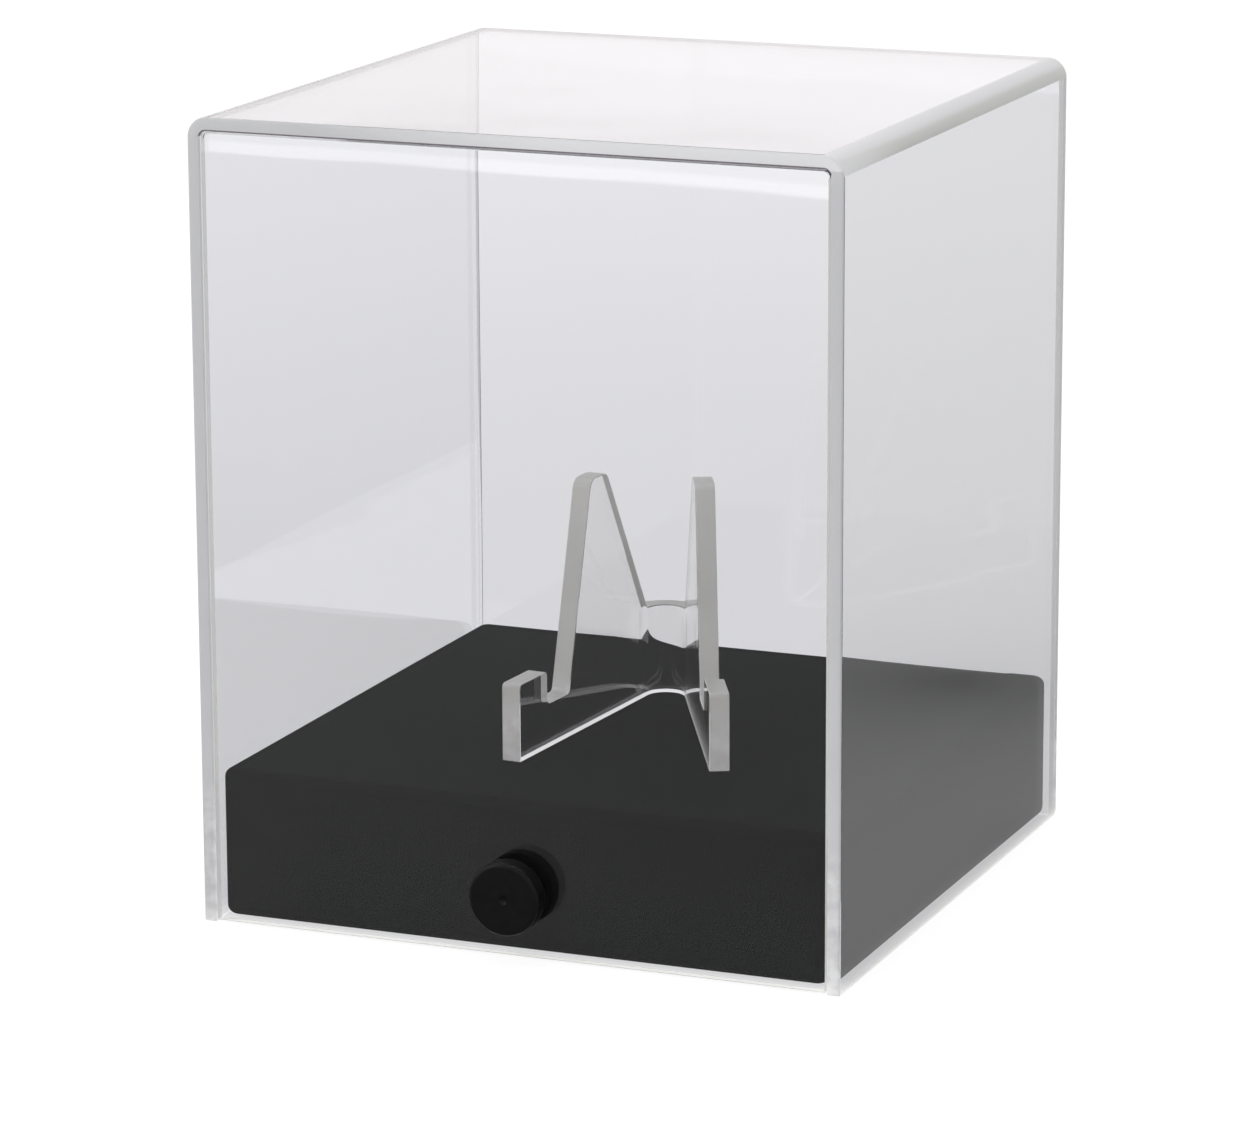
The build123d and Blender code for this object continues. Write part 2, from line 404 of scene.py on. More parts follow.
def cut_blank(outlines, thickness):
    """A flat blank cut from sheet. The first outline is its edge and the others are holes, in (x, y)."""
    blank = bmesh.new()
    edges = []
    for outline in outlines:
        ring = [blank.verts.new((p.x, p.y, -thickness / 2)) for p in outline]
        edges += [blank.edges.new((ring[i - 1], ring[i])) for i in range(len(ring))]
    if len(outlines) == 1:
        blank.faces.new(ring)
    else:
        bmesh.ops.triangle_fill(blank, use_beauty=True, use_dissolve=False, edges=edges)
        bmesh.ops.dissolve_limit(blank, angle_limit=0.001, verts=blank.verts[:], edges=blank.edges[:])
    raised = bmesh.ops.extrude_face_region(blank, geom=blank.faces[:])["geom"]
    top = [v for v in raised if isinstance(v, bmesh.types.BMVert)]
    bmesh.ops.translate(blank, verts=top, vec=(0, 0, thickness))
    bmesh.ops.recalc_face_normals(blank, faces=blank.faces)
    return blank


broad, cut = range(2)


def mark_cut_faces(blank, foot):
    """Numbers the materials of a flat blank: broad for its broad faces, foot for its foot, cut for its other
    cut faces and its arrises."""
    blank.normal_update()
    for face in blank.faces:
        face.material_index = foot if face.normal.y < -flat_share else cut
        if abs(face.normal.z) > flat_share:
            face.material_index = broad


def sheet_piece(name, blank, surfaces, to_frame):
    """Turns a blank into a piece of the case. to_frame carries the blank's own axes to the case's."""
    bmesh.ops.transform(blank, matrix=to_frame, verts=blank.verts)
    bmesh.ops.recalc_face_normals(blank, faces=blank.faces)
    mesh = bpy.data.meshes.new(name)
    blank.to_mesh(mesh)
    blank.free()
    for surface in surfaces:
        mesh.materials.append(surface)
    return new_object(name, mesh)


def upright(middle_y):
    """Stands a flat blank up, with its x along X and its y along Z, at a depth in the case."""
    return Matrix.Translation((0, middle_y, 0)) @ Matrix.Rotation(math.pi / 2, 4, "X")


back_edge = rounded([(back_low.x + cement_line, back_low.z, 0), (back_high.x - cement_line, back_low.z, 0),
                     (back_high.x - cement_line, back_high.z - cement_line, bend_inner_radius),
                     (back_low.x + cement_line, back_high.z - cement_line, bend_inner_radius)])
blank = cut_blank([back_edge], back_high.y - back_low.y)
break_arrises(blank, square_arris, 1)
mark_cut_faces(blank, foot=cut)
for face in blank.faces:
    if face.normal.x < -cleared_share:
        face.material_index = broad
back = sheet_piece("clear_back_panel", blank, [polished_acrylic, sanded_foot],
                   upright((back_low.y + back_high.y) / 2))
back = softly_shaded(back)
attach(back, "case")
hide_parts("back_panel")


# Front panel. The same sheet again, a little smaller than the opening of the cover, so that it slides out
# with the base. Its upper edge is polished clear. One drilled hole low down takes the knob's stud.
panel_low, panel_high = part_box("front_panel")
stud_low, stud_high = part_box("knob_stud")
stud_middle = (stud_low + stud_high) / 2
stud_radius = (stud_high.x - stud_low.x) / 2
stud_hole_clearance = 0.00025
hole_steps = 48

panel_edge = rounded([(panel_low.x, panel_low.z, 0), (panel_high.x, panel_low.z, 0),
                      (panel_high.x, panel_high.z, bend_inner_radius),
                      (panel_low.x, panel_high.z, bend_inner_radius)])
hole_radius = stud_radius + stud_hole_clearance
hole_edge = [Vector((stud_middle.x + hole_radius * math.cos(2 * math.pi * k / hole_steps),
                     stud_middle.z + hole_radius * math.sin(2 * math.pi * k / hole_steps)))
             for k in range(hole_steps)]
blank = cut_blank([panel_edge, hole_edge], panel_high.y - panel_low.y)
break_arrises(blank, square_arris, 1)
mark_cut_faces(blank, foot=cut)
for face in blank.faces:
    if face.calc_center_median().y > panel_high.z - bend_inner_radius - hair:
        face.material_index = broad
front = sheet_piece("clear_front_panel", blank, [polished_acrylic, sanded_foot],
                    upright((panel_low.y + panel_high.y) / 2))
front = softly_shaded(front)
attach(front, "drawer")
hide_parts("front_panel")


# Base block. A solid slab, sawn to size, its corners and edges rounded over, then sprayed matte black.
# The paint has a fine orange peel and drinks nearly all light. A blind hole in its front takes the stud.
base_low, base_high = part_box("base_block")
base_corner_radius = 0.002
base_edge_radius = 0.0014
base_edge_steps = 6
clamped_gap = 0.00004
bore_clearance = 0.00005
bore_steps = 32
paint_colours = ("111211", "171817")
paint_roughness = (0.7, 0.85)
paint_shine = 0.015
peel_length = 0.0006
peel_height = 0.0000005
cloud_length = 0.018


def mottled(tree, noise, colours, roughness):
    """The colour and the roughness of a skin, each going from one value to another with a noise."""
    colour = add_node(tree, "ShaderNodeMix", {0: noise, 6: linear(colours[0]), 7: linear(colours[1])},
                      data_type="RGBA")
    rough = add_node(tree, "ShaderNodeMapRange", {"Value": noise, "To Min": roughness[0],
                                                  "To Max": roughness[1]})
    return {"Base Color": colour.outputs[2], "Roughness": rough}


matte_black_paint, tree, place = start_material("matte_black_paint")
clouds = add_node(tree, "ShaderNodeTexNoise", {"Vector": place["Object"], "Scale": 1 / cloud_length,
                                               "Detail": 4.0})
skin = mottled(tree, clouds, paint_colours, paint_roughness)
peel = add_node(tree, "ShaderNodeTexNoise", {"Vector": place["Object"], "Scale": 1 / peel_length,
                                             "Detail": 3.0})
bump = add_node(tree, "ShaderNodeBump", {"Height": peel, "Distance": peel_height})
paint = add_node(tree, "ShaderNodeBsdfPrincipled", {**skin, "Specular IOR Level": paint_shine,
                                                    "Normal": bump})
add_node(tree, "ShaderNodeOutputMaterial", {"Surface": paint})


def turned(name, profile, axis, surface, steps=64):
    """A turned piece. profile is (radius, reach) from its rear centre to its front centre, and reach runs
    from the point axis towards the front of the case."""
    work = bmesh.new()
    rings = []
    for radius, reach in profile:
        angles = [2 * math.pi * k / steps for k in range(steps if radius > 0 else 1)]
        rings.append([work.verts.new((axis.x + radius * math.cos(a), axis.y - reach,
                                      axis.z + radius * math.sin(a))) for a in angles])
    for one, other in zip(rings, rings[1:]):
        for k in range(steps):
            corners = [one[k % len(one)], one[(k + 1) % len(one)],
                       other[(k + 1) % len(other)], other[k % len(other)]]
            work.faces.new(list(dict.fromkeys(corners)))
    return sheet_piece(name, work, [surface], Matrix())


block_edge = rounded([(base_low.x, base_low.y + clamped_gap, base_corner_radius),
                      (base_high.x, base_low.y + clamped_gap, base_corner_radius),
                      (base_high.x, base_high.y, base_corner_radius),
                      (base_low.x, base_high.y, base_corner_radius)])
blank = cut_blank([block_edge], base_high.z - base_low.z)
level = [e for e in blank.edges if abs(e.verts[0].co.z - e.verts[1].co.z) < touching]
bmesh.ops.bevel(blank, geom=level, offset=base_edge_radius, segments=base_edge_steps, profile=0.5,
                affect="EDGES")
base = sheet_piece("black_base", blank, [matte_black_paint],
                   Matrix.Translation((0, 0, (base_low.z + base_high.z) / 2)))
bore_radius = stud_radius + bore_clearance
bore_floor = stud_high.y + bore_clearance
bore_length = bore_floor - panel_low.y
cutter = turned("bore_cutter", [(0, 0), (bore_radius, 0), (bore_radius, bore_length), (0, bore_length)],
                Vector((stud_middle.x, bore_floor, stud_middle.z)), matte_black_paint, bore_steps)
bore = base.modifiers.new("bore", "BOOLEAN")
bore.operation = "DIFFERENCE"
bore.solver = "EXACT"
bore.object = cutter
base = softly_shaded(base)
bpy.data.objects.remove(cutter)
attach(base, "drawer")
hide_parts("base_block")


# Glide pads. Four discs of pressed wool felt with glue on their backs, stuck under the corners of the base
# so that it slides without scratching. Their rims are a little ragged where the punch went through.
pads_low, pads_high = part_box("glide_pads")
pad_radius = 0.005
pad_steps = 48
pad_fuzz = 0.00012
fuzz_length = 0.0007
fibre_height = 0.0002
felt_colours = ("B9B8B2", "CFCEC8")
felt_roughness = (0.95, 0.95)

# Pressed felt is dull and soft, with fibres a little lighter than the rest.
wool_felt, tree, place = start_material("pressed_wool_felt")
fibres = add_node(tree, "ShaderNodeTexNoise", {"Vector": place["Object"], "Scale": 1 / fuzz_length,
                                               "Detail": 6.0})
skin = mottled(tree, fibres, felt_colours, felt_roughness)
bump = add_node(tree, "ShaderNodeBump", {"Height": fibres, "Distance": fibre_height})
felt = add_node(tree, "ShaderNodeBsdfPrincipled", {**skin, "Sheen Weight": 0.3, "Normal": bump})
add_node(tree, "ShaderNodeOutputMaterial", {"Surface": felt})


def felt_pads_tree():
    """A punched disc on each corner of a rectangle, its rim moved in and out a little by noise."""
    noise_middle, sideways = (0.5, 0.5, 0.5), (2.0, 2.0, 0.0)
    tree, given, end = start_tree("felt_pads", ["Width", "Depth", "Pad Radius", "Pad Height", "Fuzz",
                                                "Fuzz Length"], ["Steps"])
    disc = add_node(tree, "GeometryNodeMeshCylinder", {
        "Vertices": given["Steps"], "Side Segments": 4, "Fill Segments": 3, "Radius": given["Pad Radius"],
        "Depth": given["Pad Height"]})
    corners = add_node(tree, "GeometryNodeMeshGrid", {"Size X": given["Width"], "Size Y": given["Depth"],
                                                      "Vertices X": 2, "Vertices Y": 2})
    pads = add_node(tree, "GeometryNodeInstanceOnPoints", {"Points": corners, "Instance": disc})
    pads = add_node(tree, "GeometryNodeTransform", {"Geometry": pads, "Translation": given["Middle"]})
    pads = add_node(tree, "GeometryNodeRealizeInstances", {"Geometry": pads})
    scale = add_node(tree, "ShaderNodeMath", {0: 1.0, 1: given["Fuzz Length"]}, operation="DIVIDE")
    where = add_node(tree, "GeometryNodeInputPosition")
    ragged = add_node(tree, "ShaderNodeTexNoise", {"Vector": where, "Scale": scale,
                                                   "Detail": 2.0}).outputs["Color"]
    push = add_node(tree, "ShaderNodeVectorMath", {0: ragged, 1: noise_middle}, operation="SUBTRACT")
    push = add_node(tree, "ShaderNodeVectorMath", {0: push, "Scale": given["Fuzz"]}, operation="SCALE")
    push = add_node(tree, "ShaderNodeVectorMath", {0: push, 1: sideways}, operation="MULTIPLY")
    pads = add_node(tree, "GeometryNodeSetPosition", {"Geometry": pads, "Offset": push})
    return finish_tree(tree, pads, given["Surface"], end)


pads = grown("felt_glide_pads", felt_pads_tree(), {
    "Width": pads_high.x - pads_low.x - 2 * pad_radius, "Depth": pads_high.y - pads_low.y - 2 * pad_radius,
    "Pad Radius": pad_radius - pad_fuzz, "Pad Height": pads_high.z - pads_low.z, "Steps": pad_steps,
    "Fuzz": pad_fuzz, "Fuzz Length": fuzz_length, "Middle": (pads_low + pads_high) / 2, "Surface": wool_felt})
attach(pads, "drawer")
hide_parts("glide_pads")


# Knob stud. A length of zinc-plated M3 screw rod. It is glued into the knob, passes through the front
# panel and screws into the base, so that tightening the knob clamps the panel.
thread_pitch = 0.0005
thread_depth = 0.0003
thread_slack = 0.00003
thread_steps_round = 32
thread_steps_per_turn = 10
zinc_colours = ("C6C9CB", "A9ACAE")
zinc_roughness = (0.22, 0.45)
bloom_length = 0.002 / 3
thread_crest = 0.06
thread_root = 0.42

# Zinc plating is a dull grey metal with a faint bloom.
zinc_plated_steel, tree, place = start_material("zinc_plated_steel")
bloom = add_node(tree, "ShaderNodeTexNoise", {"Vector": place["Object"], "Scale": 1 / bloom_length,
                                              "Detail": 3.0})
skin = mottled(tree, bloom, zinc_colours, zinc_roughness)
zinc = add_node(tree, "ShaderNodeBsdfPrincipled", {**skin, "Metallic": 1.0})
add_node(tree, "ShaderNodeOutputMaterial", {"Surface": zinc})


def screw_rod_tree():
    """A rod with a screw thread: its radius follows the turn about its axis and the way along it."""
    tree, given, end = start_tree("screw_rod", ["Radius", "Length", "Pitch", "Thread Depth"],
                                  ["Steps Round", "Steps Along"])
    rod = add_node(tree, "GeometryNodeMeshCylinder", {
        "Vertices": given["Steps Round"], "Side Segments": given["Steps Along"], "Fill Segments": 1,
        "Radius": given["Radius"], "Depth": given["Length"]}, fill_type="TRIANGLE_FAN")
    where = add_node(tree, "GeometryNodeInputPosition")
    part = add_node(tree, "ShaderNodeSeparateXYZ", {0: where}).outputs
    angle = add_node(tree, "ShaderNodeMath", {0: part["Y"], 1: part["X"]}, operation="ARCTAN2")
    turn = add_node(tree, "ShaderNodeMath", {0: angle, 1: 2 * math.pi}, operation="DIVIDE")
    along = add_node(tree, "ShaderNodeMath", {0: part["Z"], 1: given["Pitch"]}, operation="DIVIDE")
    phase = add_node(tree, "ShaderNodeMath", {0: along, 1: turn}, operation="SUBTRACT")
    flank = add_node(tree, "ShaderNodeMath", {0: phase, 1: 0.5}, operation="PINGPONG")
    groove = add_node(tree, "ShaderNodeMapRange", {"Value": flank, "From Min": thread_crest,
                                                   "From Max": thread_root})
    depth = add_node(tree, "ShaderNodeMath", {0: groove, 1: given["Thread Depth"]}, operation="MULTIPLY")
    share = add_node(tree, "ShaderNodeMath", {0: depth, 1: given["Radius"]}, operation="DIVIDE")
    inward = add_node(tree, "ShaderNodeMath", {0: share, 1: -1.0}, operation="MULTIPLY")
    flat = add_node(tree, "ShaderNodeVectorMath", {0: where, 1: (1.0, 1.0, 0.0)}, operation="MULTIPLY")
    push = add_node(tree, "ShaderNodeVectorMath", {0: flat, "Scale": inward}, operation="SCALE")
    rod = add_node(tree, "GeometryNodeSetPosition", {"Geometry": rod, "Offset": push})
    rod = add_node(tree, "GeometryNodeTransform", {"Geometry": rod, "Rotation": (math.pi / 2, 0, 0),
                                                   "Translation": given["Middle"]})
    return finish_tree(tree, rod, given["Surface"], end)


rod_length = stud_high.y - stud_low.y - 2 * thread_slack
stud = grown("threaded_stud", screw_rod_tree(), {
    "Radius": stud_radius - thread_slack, "Length": rod_length, "Pitch": thread_pitch,
    "Thread Depth": thread_depth, "Steps Round": thread_steps_round,
    "Steps Along": round(rod_length / thread_pitch * thread_steps_per_turn), "Middle": stud_middle,
    "Surface": zinc_plated_steel})
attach(stud, "drawer")
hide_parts("knob_stud")


# Knob. Turned from black acetal rod: a short neck, a wider head with softened rims, and the small dimple
# that the lathe's centre left. The face keeps fine rings from the tool.
knob_low, knob_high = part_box("knob")
knob_head_thickness = 0.003
knob_front_radius = 0.0007
knob_rear_radius = 0.0004
knob_neck_radius = 0.00325
dimple_radius = 0.0008
dimple_depth = 0.00035
dimple_steps = 6
neck_corner_radius = 0.00015
tool_ring_pitch = 0.00022
tool_ring_height = 0.000003
sharp_from = math.radians(35)
acetal_colours = ("090A09", "111211")
acetal_shine = 0.15
acetal_ior = 1.48
acetal_roughness = (0.32, 0.5)
rubbing_length = 0.01 / 7

# Turned acetal is nearly black, with a weak sheen along its rims.
turned_acetal, tree, place = start_material("turned_black_acetal")
centred = add_node(tree, "ShaderNodeVectorMath", {0: place["Object"], 1: stud_middle}, operation="SUBTRACT")
flat = add_node(tree, "ShaderNodeVectorMath", {0: centred, 1: (1, 0, 1)}, operation="MULTIPLY")
radius = add_node(tree, "ShaderNodeVectorMath", {0: flat}, operation="LENGTH").outputs["Value"]
rings = add_node(tree, "ShaderNodeMath", {0: radius, 1: 2 * math.pi / tool_ring_pitch}, operation="MULTIPLY")
rings = add_node(tree, "ShaderNodeMath", {0: rings}, operation="SINE")
rubbed = add_node(tree, "ShaderNodeTexNoise", {"Vector": place["Object"], "Scale": 1 / rubbing_length,
                                               "Detail": 4.0})
skin = mottled(tree, rubbed, acetal_colours, acetal_roughness)
bump = add_node(tree, "ShaderNodeBump", {"Height": rings, "Distance": tool_ring_height})
acetal = add_node(tree, "ShaderNodeBsdfPrincipled", {
    **skin, "IOR": acetal_ior, "Specular IOR Level": acetal_shine, "Normal": bump})
add_node(tree, "ShaderNodeOutputMaterial", {"Surface": acetal})

knob_radius = (knob_high.x - knob_low.x) / 2
knob_reach = knob_high.y - knob_low.y
head_rear = knob_reach - knob_head_thickness
bore_depth = knob_high.y - stud_low.y + thread_slack
dimple_sphere = (dimple_depth**2 + dimple_radius**2) / (2 * dimple_depth)
profile = rounded([(0, bore_depth, 0), (bore_radius, bore_depth, 0), (bore_radius, clamped_gap, 0),
                   (knob_neck_radius, clamped_gap, neck_corner_radius), (knob_neck_radius, head_rear, 0),
                   (knob_radius, head_rear, knob_rear_radius), (knob_radius, knob_reach, knob_front_radius),
                   (dimple_radius, knob_reach, 0)])
for k in range(1, dimple_steps + 1):
    r = dimple_radius * (1 - k / dimple_steps)
    profile.append((r, knob_reach - dimple_depth + dimple_sphere - math.sqrt(dimple_sphere**2 - r * r)))
knob = turned("turned_knob", profile, Vector((stud_middle.x, knob_high.y, stud_middle.z)), turned_acetal)
knob.data.set_sharp_from_angle(angle=sharp_from)
knob = softly_shaded(knob)
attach(knob, "drawer")
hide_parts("knob")


# Easel. One strip of 3 mm clear acrylic, sawn out with a notch and a sloping rest at each end, then heated
# in the middle and folded into a V. Its faces are glossy and its sawn edges pale and silky. It stands
# loose on the base.
easel_low, easel_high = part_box("easel")
easel_thickness = 0.003
easel_turn = math.radians(11.2)
easel_place = Vector((0.0060, cover_low.y + 0.0246, easel_low.z))
easel_spread = 0.0312
easel_half_angle = math.radians(15.2)
easel_bend_radius = 0.0045
lip_height = 0.0118
lip_depth = 0.009
notch_floor = 0.0068
notch_width = 0.007
rest_height = easel_high.z - easel_low.z
rest_lean = math.radians(14)
rest_top_width = 0.0055
bridge_height = 0.014
lip_corner_radius = 0.0008
notch_corner_radius = 0.0008
rest_corner_radius = 0.002
easel_fold_steps = 40
easel_swell_height = 0.00002
sawn_arris = 0.0002
foot_arris = 0.00002
foot_gap = 0.00003
easel_tint = "FAF9F9"
sawn_dark = "E9E8E2"
sawn_pale = "FCFBF8"
sawn_scatter = 0.5
sawn_rough_height = 0.031

leg_length = easel_spread / 2 / math.sin(easel_half_angle) - easel_bend_radius / math.tan(easel_half_angle)
bend_turn = math.pi - 2 * easel_half_angle
bend_length = easel_bend_radius * bend_turn
rest_foot = lip_depth + notch_width
rest_top = rest_foot + (rest_height - notch_floor) * math.tan(rest_lean)
strip_length = 2 * leg_length + bend_length
left_end = [(0, foot_gap, 0), (0, lip_height, lip_corner_radius), (lip_depth, lip_height, lip_corner_radius),
            (lip_depth, notch_floor, notch_corner_radius), (rest_foot, notch_floor, notch_corner_radius),
            (rest_top, rest_height, rest_corner_radius),
            (rest_top + rest_top_width, rest_height, rest_corner_radius), (leg_length, bridge_height, 0)]
right_end = [(strip_length - x, y, radius) for x, y, radius in reversed(left_end)]
blank = cut_blank([rounded(left_end + right_end)], easel_thickness)
break_arrises(blank, sawn_arris, 2, lambda point: point.y > 2 * foot_gap)
break_arrises(blank, foot_arris, 1)
mark_cut_faces(blank, foot=broad)


def fold_strip(blank, runs, steps):
    """Folds a flat blank along its x. runs are (length, turn) one after another; a turn of 0 is straight."""
    start = 0.0
    for length, turn in runs:
        if turn:
            for k in range(steps + 1):
                bmesh.ops.bisect_plane(blank, geom=blank.verts[:] + blank.edges[:] + blank.faces[:],
                                       plane_co=(start + length * k / steps, 0, 0), plane_no=(1, 0, 0))
        start += length
    for vert in blank.verts:
        x, y, heading, left = 0.0, 0.0, 0.0, vert.co.x
        for i, (length, turn) in enumerate(runs):
            part = left if i == len(runs) - 1 else min(left, length)
            if turn:
                radius = length / turn
                end = heading + part / radius
                x += radius * (math.sin(end) - math.sin(heading))
                y -= radius * (math.cos(end) - math.cos(heading))
                heading = end
            else:
                x += part * math.cos(heading)
                y += part * math.sin(heading)
            left -= part
            if left <= 0:
                break
        vert.co = (x - vert.co.z * math.sin(heading), y + vert.co.z * math.cos(heading), vert.co.y)


fold_strip(blank, [(leg_length, 0), (bend_length, -bend_turn), (leg_length, 0)], easel_fold_steps)
easel_acrylic = make_polished_acrylic("polished_easel_acrylic", easel_tint, easel_swell_height)
sawn_edge = make_cut_edge("sawn_easel_edge", sawn_dark, sawn_pale, sawn_scatter, sawn_rough_height)
easel_frame = (Matrix.Translation(easel_place) @ Matrix.Rotation(easel_turn, 4, "Z")
               @ Matrix.Translation((-easel_spread / 2, 0, 0))
               @ Matrix.Rotation(math.pi / 2 - easel_half_angle, 4, "Z"))
easel = sheet_piece("clear_easel", blank, [easel_acrylic, sawn_edge], easel_frame)
easel = softly_shaded(easel)
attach(easel, "stand")
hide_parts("easel")


# Studio. A white table under two soft lamps, and white wherever the eye, a mirror image or clear acrylic
# looks past the table. The table's glow holds painted light and shade that the lamps don't cast. In mirror
# images the table darkens towards its unlit front and close beside the case on the right, and a painted
# bright strip lies far in front. Through the acrylic it is greyer close behind the case, a painted shadow of
# the case, and it glows bright under the case, a painted light. The camera stands where the photograph was
# taken.
table_size = 8.0
table_drop = 0.00005
table_colour = "757575"
table_glow = 0.90
# Painted shadow of the case: seen through the acrylic, the table is greyer close behind the case.
case_shadow_spot = (0.0, 0.17, 0.0)
case_shadow_glow = 0.655
case_shadow_near = 0.08
case_shadow_size = 0.6
far_glow = 0.745
# Painted light: seen through the acrylic, the table under the case glows bright where it lies in the base's
# shade, brightest under the front.
under_front_glow = 0.85
under_side_glow = 0.60
under_half_width = cover_high.x
under_fade = 0.003
under_side_from = -0.040
dark_front = (0.05, -0.16, 0.0)
dark_front_near = 0.06
dark_front_size = 1.0
front_near_glow = 0.10
front_far_glow = 0.95
# Painted shade: in mirror images the table is darker close beside the case on the right.
dark_right = (0.09, 0.125, 0.0)
right_half_way = 0.050
right_spot_size = 0.005
right_far_glow = 0.46
right_edge = cover_high.x
right_fade = 0.001
front_fade = 0.002
# A painted reflection: a bright strip across the table far in front, brighter than white, seen only in mirror
# images. Beyond it the table is brighter than white too.
painted_strip_middle = -0.6745
painted_strip_slope = 0.065
painted_strip_half_width = 0.009
painted_strip_fade = 0.002
painted_strip_glow = 2.5
beyond_strip_glow = 1.6
table_bounce = 0.8
room_light = 0.72
mirrored_room_colour = "FFF9FA"

material, tree, place = start_material("white_table")
ray = add_node(tree, "ShaderNodeLightPath").outputs
spot = add_node(tree, "ShaderNodeSeparateXYZ", {0: place["Object"]}).outputs
from_case_shadow = add_node(tree, "ShaderNodeVectorMath", {0: place["Object"], 1: case_shadow_spot}, operation="DISTANCE")
through = add_node(tree, "ShaderNodeMapRange", {
    "Value": from_case_shadow.outputs["Value"], "From Min": case_shadow_near, "From Max": case_shadow_size,
    "To Min": case_shadow_glow, "To Max": far_glow}, interpolation_type="SMOOTHSTEP")
inset = add_node(tree, "ShaderNodeVectorMath", {
    0: place["Object"], 1: (0, cover_low.y / 2 + cover_high.y / 2, 0)}, operation="SUBTRACT")
inset = add_node(tree, "ShaderNodeVectorMath", {0: inset}, operation="ABSOLUTE")
inset = add_node(tree, "ShaderNodeSeparateXYZ", {0: inset}).outputs
inset = add_node(tree, "ShaderNodeMath", {0: inset["X"], 1: inset["Y"]}, operation="MAXIMUM")
under = add_node(tree, "ShaderNodeMapRange", {"Value": inset, "From Min": under_half_width,
                                              "From Max": under_half_width + under_fade, "To Min": 1.0,
                                              "To Max": 0.0})
shaded = add_node(tree, "ShaderNodeMapRange", {"Value": spot["Y"], "From Min": cover_low.y,
                                               "From Max": under_side_from, "To Min": under_front_glow,
                                               "To Max": under_side_glow})
behind = add_node(tree, "ShaderNodeMix", {0: under, 2: through, 3: shaded})
from_dark = add_node(tree, "ShaderNodeVectorMath", {0: place["Object"], 1: dark_front}, operation="DISTANCE")
in_front = add_node(tree, "ShaderNodeMapRange", {
    "Value": from_dark.outputs["Value"], "From Min": dark_front_near, "From Max": dark_front_size,
    "To Min": front_near_glow, "To Max": front_far_glow})
# The painted bright strip, and the brighter table beyond it, for mirror images.
skewed = add_node(tree, "ShaderNodeMath", {0: spot["X"], 1: -painted_strip_slope, 2: spot["Y"]},
                  operation="MULTIPLY_ADD")
beyond_strip = add_node(tree, "ShaderNodeMapRange", {"Value": skewed, "From Min": painted_strip_middle,
                                               "From Max": painted_strip_middle - 2 * painted_strip_fade})
in_front = add_node(tree, "ShaderNodeMix", {0: beyond_strip, 2: in_front, 3: beyond_strip_glow})
off_strip = add_node(tree, "ShaderNodeMath", {0: skewed, 1: painted_strip_middle}, operation="SUBTRACT")
off_strip = add_node(tree, "ShaderNodeMath", {0: off_strip}, operation="ABSOLUTE")
edge = add_node(tree, "ShaderNodeMapRange", {"Value": off_strip, "To Min": 1.0, "To Max": 0.0,
                                             "From Min": painted_strip_half_width - painted_strip_fade,
                                             "From Max": painted_strip_half_width + painted_strip_fade})
in_front = add_node(tree, "ShaderNodeMix", {0: edge, 2: in_front, 3: painted_strip_glow})
# Painted shade of the table beside the case on the right, for mirror images.
from_dark = add_node(tree, "ShaderNodeVectorMath", {0: place["Object"], 1: dark_right}, operation="DISTANCE")
apart = add_node(tree, "ShaderNodeMath", {0: from_dark.outputs["Value"], 1: right_spot_size})
beside = add_node(tree, "ShaderNodeMath", {0: apart, 1: right_half_way})
beside = add_node(tree, "ShaderNodeMath", {0: apart, 1: beside}, operation="DIVIDE")
beside = add_node(tree, "ShaderNodeMath", {0: beside, 1: right_far_glow}, operation="MULTIPLY")
to_right = add_node(tree, "ShaderNodeMapRange", {"Value": spot["X"], "From Min": right_edge,
                                                 "From Max": right_edge + right_fade})
seen = add_node(tree, "ShaderNodeMix", {0: to_right, 2: behind, 3: beside})
to_back = add_node(tree, "ShaderNodeMapRange", {"Value": spot["Y"], "From Min": cover_low.y - front_fade,
                                                "From Max": cover_low.y})
seen = add_node(tree, "ShaderNodeMix", {0: to_back, 2: in_front, 3: seen})
mirrored = add_node(tree, "ShaderNodeMath", {0: ray["Glossy Depth"], 1: 0.5}, operation="GREATER_THAN")
seen = add_node(tree, "ShaderNodeMix", {0: mirrored, 2: behind, 3: seen})
sharp = add_node(tree, "ShaderNodeMath", {0: ray["Is Glossy Ray"], 1: ray["Is Transmission Ray"]},
                 operation="MAXIMUM")
bounce = add_node(tree, "ShaderNodeMath", {0: ray["Is Diffuse Ray"], 1: table_bounce}, operation="MULTIPLY")
glow = add_node(tree, "ShaderNodeMath", {0: sharp, 1: seen, 2: bounce}, operation="MULTIPLY_ADD")
glow = add_node(tree, "ShaderNodeMix", {0: ray["Is Camera Ray"], 2: glow, 3: table_glow})
paper = add_node(tree, "ShaderNodeBsdfDiffuse", {"Color": linear(table_colour)})
lift = add_node(tree, "ShaderNodeEmission", {"Color": (1, 1, 1, 1), "Strength": glow})
both = add_node(tree, "ShaderNodeAddShader", {0: paper, 1: lift})
add_node(tree, "ShaderNodeOutputMaterial", {"Surface": both})
table_top = bmesh.new()
bmesh.ops.create_grid(table_top, x_segments=1, y_segments=1, size=table_size / 2)
bmesh.ops.translate(table_top, vec=(0, 0, -table_drop), verts=table_top.verts)
mesh = bpy.data.meshes.new("table_top")
table_top.to_mesh(mesh)
table_top.free()
mesh.materials.append(material)
table = new_object("table_top", mesh)

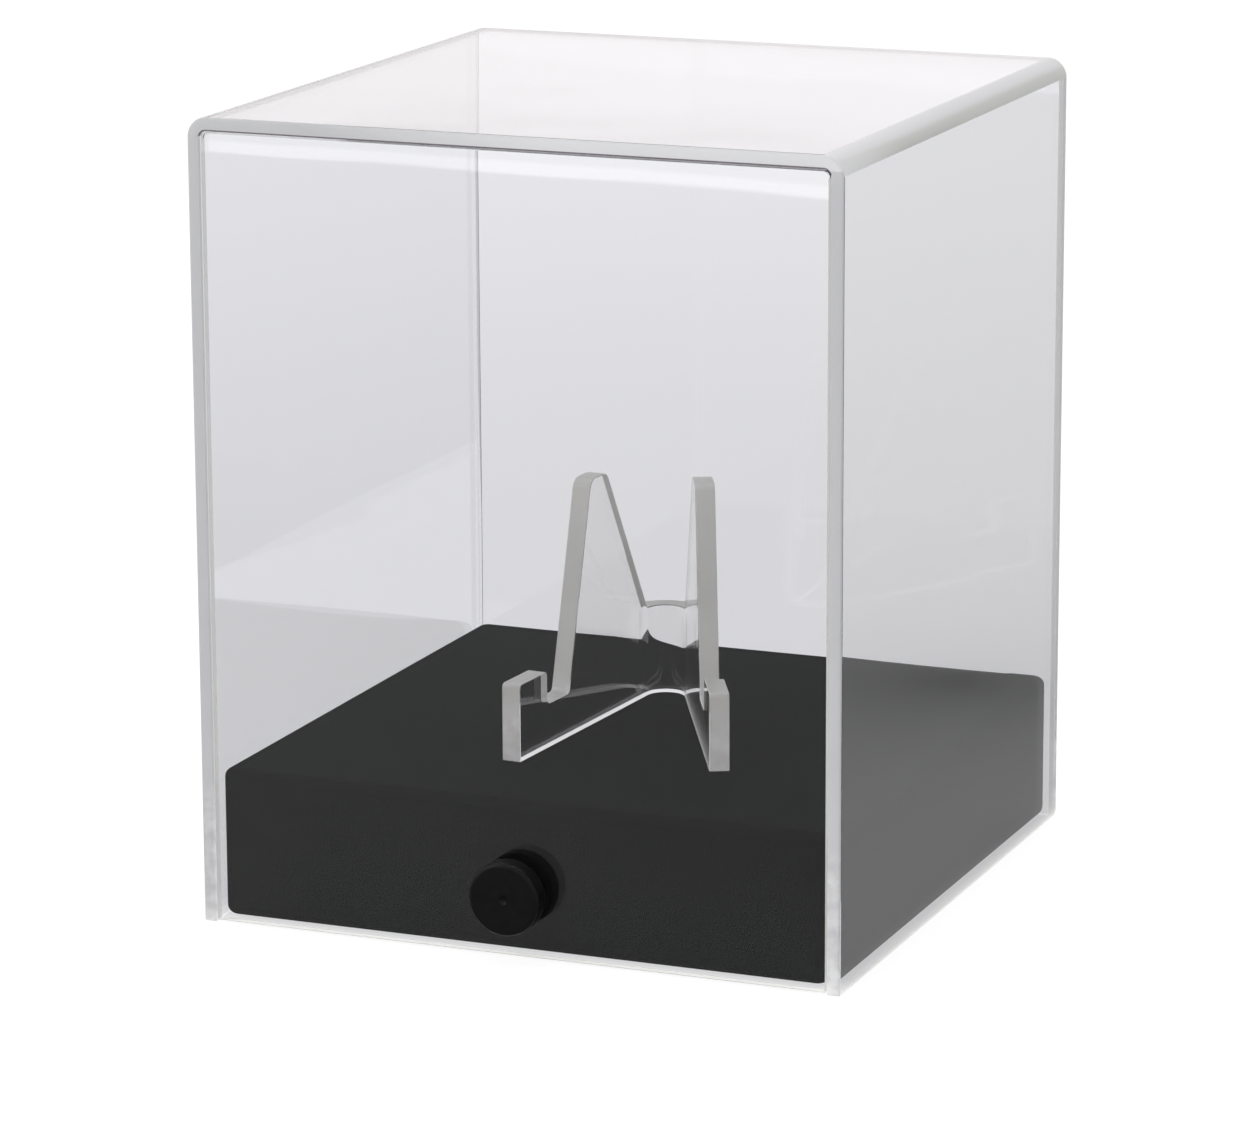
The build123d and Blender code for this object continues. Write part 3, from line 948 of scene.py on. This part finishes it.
world = bpy.data.worlds.new("white_room")
bpy.context.scene.world = world
world.use_nodes = True
tree = world.node_tree
tree.nodes.clear()
ray = add_node(tree, "ShaderNodeLightPath").outputs
direct = add_node(tree, "ShaderNodeMath", {0: ray["Is Camera Ray"], 1: ray["Is Transmission Ray"]},
                  use_clamp=True)
soft = add_node(tree, "ShaderNodeBackground", {"Color": (1, 1, 1, 1), "Strength": room_light})
white = add_node(tree, "ShaderNodeBackground", {"Color": (1, 1, 1, 1), "Strength": 1.0})
pinkish = add_node(tree, "ShaderNodeBackground", {"Color": linear(mirrored_room_colour), "Strength": 1.0})
both = add_node(tree, "ShaderNodeMixShader", {0: ray["Is Glossy Ray"], 1: soft, 2: pinkish})
both = add_node(tree, "ShaderNodeMixShader", {0: direct, 1: both, 2: white})
add_node(tree, "ShaderNodeOutputWorld", {"Surface": both})


def soft_lamp(name, place, aim, width, height, brightness):
    """A flat soft lamp. brightness is how bright its face looks, where 1 is white."""
    lamp = bpy.data.lights.new(name, "AREA")
    lamp.shape = "RECTANGLE"
    lamp.size = width
    lamp.size_y = height
    lamp.energy = math.pi * width * height * brightness
    thing = new_object(name, lamp)
    thing.location = place
    thing.rotation_euler = (Vector(aim) - Vector(place)).to_track_quat("-Z", "Y").to_euler()


lamp_aim = (0, 0, 0.05)
soft_lamp("overhead_lamp", place=(-0.15, 0.1, 1.0), aim=lamp_aim, width=0.8, height=0.8, brightness=1.6)
soft_lamp("left_lamp", place=(-0.9, -0.7, 0.7), aim=lamp_aim, width=0.6, height=0.6, brightness=3.0)

camera_azimuth = math.radians(22.2134)
camera_elevation = math.radians(13.4986)
camera_roll = math.radians(-0.23)
camera_distance = 0.8185
camera_aim = Vector((-0.00246, 0.0021, 0.04736))
focal_length_px = 5414.8
image_width_px = 1256

away = Vector((math.sin(camera_azimuth) * math.cos(camera_elevation),
               -math.cos(camera_azimuth) * math.cos(camera_elevation), math.sin(camera_elevation)))
level = Vector((math.cos(camera_azimuth), math.sin(camera_azimuth), 0))
rise = away.cross(level)
side = level * math.cos(camera_roll) + rise * math.sin(camera_roll)
rise = away.cross(side)
lens = bpy.data.cameras.new("camera")
lens.sensor_width = 36.0
lens.lens = lens.sensor_width * focal_length_px / image_width_px
lens.clip_start = 0.01
lens.clip_end = 20.0
camera = new_object("camera", lens)
camera.matrix_world = (Matrix.Translation(camera_aim + away * camera_distance)
                       @ Matrix((side, rise, away)).transposed().to_4x4())
bpy.context.scene.camera = camera

# Sight passes many sheet faces on its way, so it is given many turns.
scene = bpy.context.scene
scene.view_settings.view_transform = "Standard"
scene.cycles.max_bounces = 32
scene.cycles.glossy_bounces = 24
scene.cycles.transmission_bounces = 24
scene.cycles.transparent_max_bounces = 32
